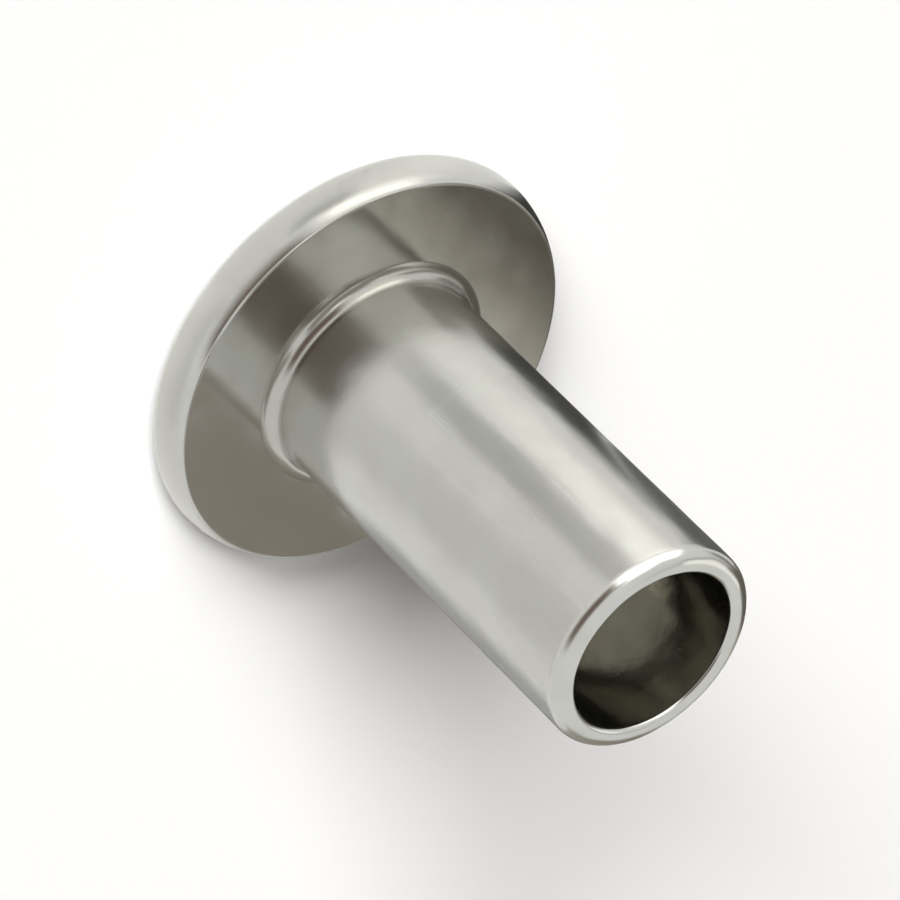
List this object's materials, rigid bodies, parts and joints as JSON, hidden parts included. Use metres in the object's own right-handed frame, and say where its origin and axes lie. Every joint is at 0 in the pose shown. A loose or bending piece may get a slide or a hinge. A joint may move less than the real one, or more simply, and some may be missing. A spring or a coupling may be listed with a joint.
{
  "type": "semi-tubular rivet",
  "caption": "Flat-head semi-tubular rivet: thin round head with a barrelled rim, plain round shank and a blind hole in the rounded tip.",
  "frame": {"origin": "centre of the head's outer face, on which the rivet stands", "axes": "+Z along the shank, from the head to the hollow tip"},
  "size_m": [0.01, 0.01, 0.0116],
  "materials": {
    "metal": "bright metal, drawn and tumbled, satin shank and polished head"
  },
  "bodies": {
    "root": {"rivet": "metal"}
  },
  "joints": []
}
